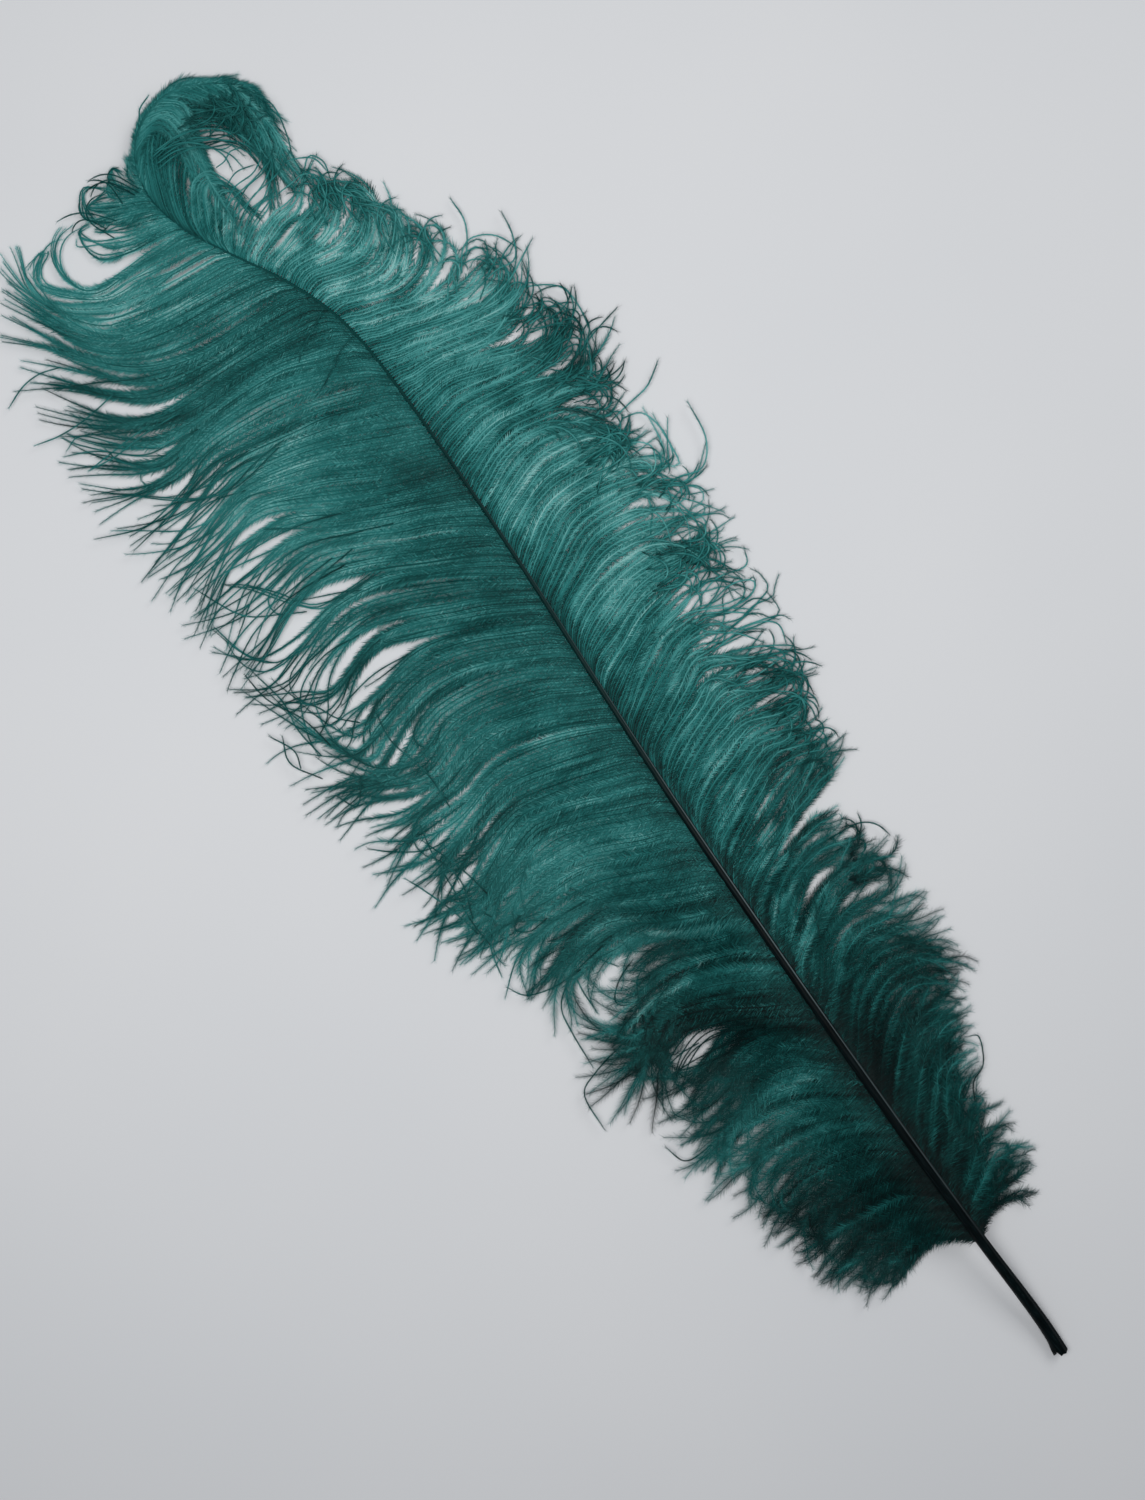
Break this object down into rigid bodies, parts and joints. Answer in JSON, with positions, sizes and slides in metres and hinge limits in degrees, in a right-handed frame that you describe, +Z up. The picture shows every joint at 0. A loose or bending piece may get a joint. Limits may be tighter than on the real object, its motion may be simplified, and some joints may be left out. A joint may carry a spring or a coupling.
{
  "type": "ostrich feather",
  "caption": "Long ostrich plume lying flat: a tapering shaft with a cut quill and a hooked head, between two soft vanes of loose, drooping barbs.",
  "frame": {"origin": "on the table, under the middle of the plume", "axes": "+Y from the cut quill to the hooked head, +X across the plume, +Z up from the table, towards the shaft's ridge"},
  "size_m": [0.205, 0.5784, 0.0182],
  "materials": {
    "shaft": "satin horn, dyed almost black",
    "vane_left": "soft barbs dyed dark teal, matt with a faint silky sheen",
    "vane_right": "soft barbs dyed teal, matt with a faint silky sheen"
  },
  "bodies": {
    "root": {"shaft": "shaft", "vane_left": "vane_left", "vane_right": "vane_right"}
  },
  "joints": []
}
